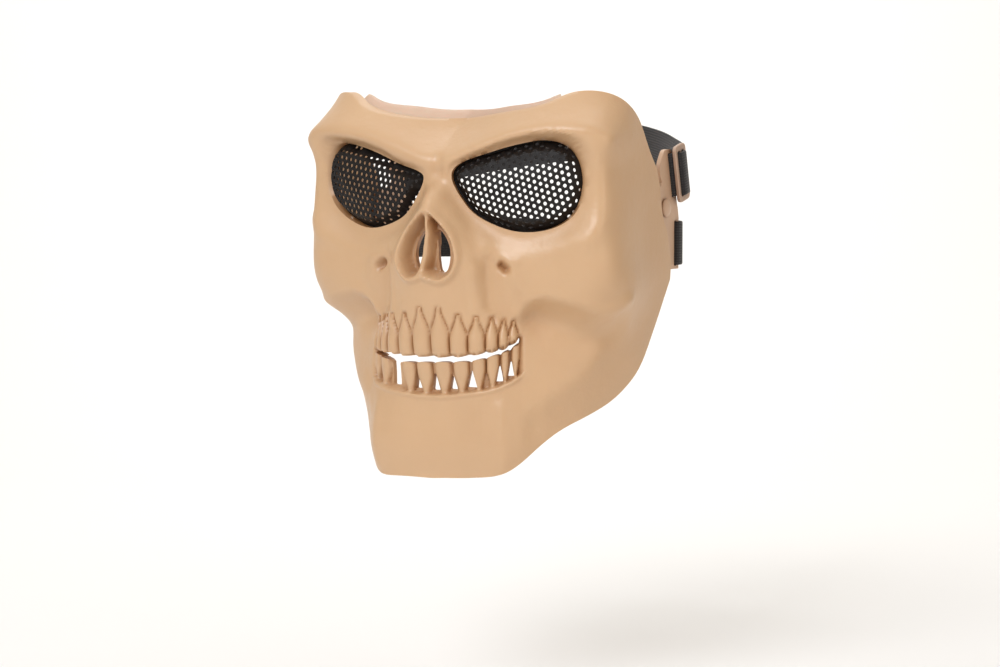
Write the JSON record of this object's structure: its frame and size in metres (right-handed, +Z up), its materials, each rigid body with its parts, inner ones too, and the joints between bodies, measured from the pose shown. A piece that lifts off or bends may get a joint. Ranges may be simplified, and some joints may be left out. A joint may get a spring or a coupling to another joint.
{
  "type": "skull face mask",
  "caption": "Full-face moulded skull mask with domed wire-mesh eye covers, raised teeth and brow, a soft brow strip and elastic head straps on side plates.",
  "frame": {"origin": "on the upright axis of the wearer's head, at eye height, on the mask's middle plane", "axes": "+Y points from the face to the back of the head, +X to the wearer's left, +Z up"},
  "size_m": [0.1982, 0.202, 0.2151],
  "materials": {
    "shell_plastic": "satin moulded tan plastic, very fine moulding texture",
    "mesh_steel": "satin black painted perforated steel",
    "brow_vinyl": "soft translucent vinyl foam strip",
    "fitting_plastic": "satin moulded tan plastic",
    "slider_plastic": "satin moulded tan plastic, a little darker",
    "strap_webbing": "woven black elastic webbing"
  },
  "bodies": {
    "root": {"mask_shell": "shell_plastic", "eye_mesh_left": "mesh_steel", "eye_mesh_right": "mesh_steel", "brow_pad": "brow_vinyl", "strap_plate_left": "fitting_plastic", "strap_plate_right": "fitting_plastic", "plate_stud_left": "fitting_plastic", "plate_stud_right": "fitting_plastic", "slider_left": "slider_plastic", "slider_right": "slider_plastic", "strap_upper": "strap_webbing", "strap_lower": "strap_webbing"}
  },
  "joints": []
}
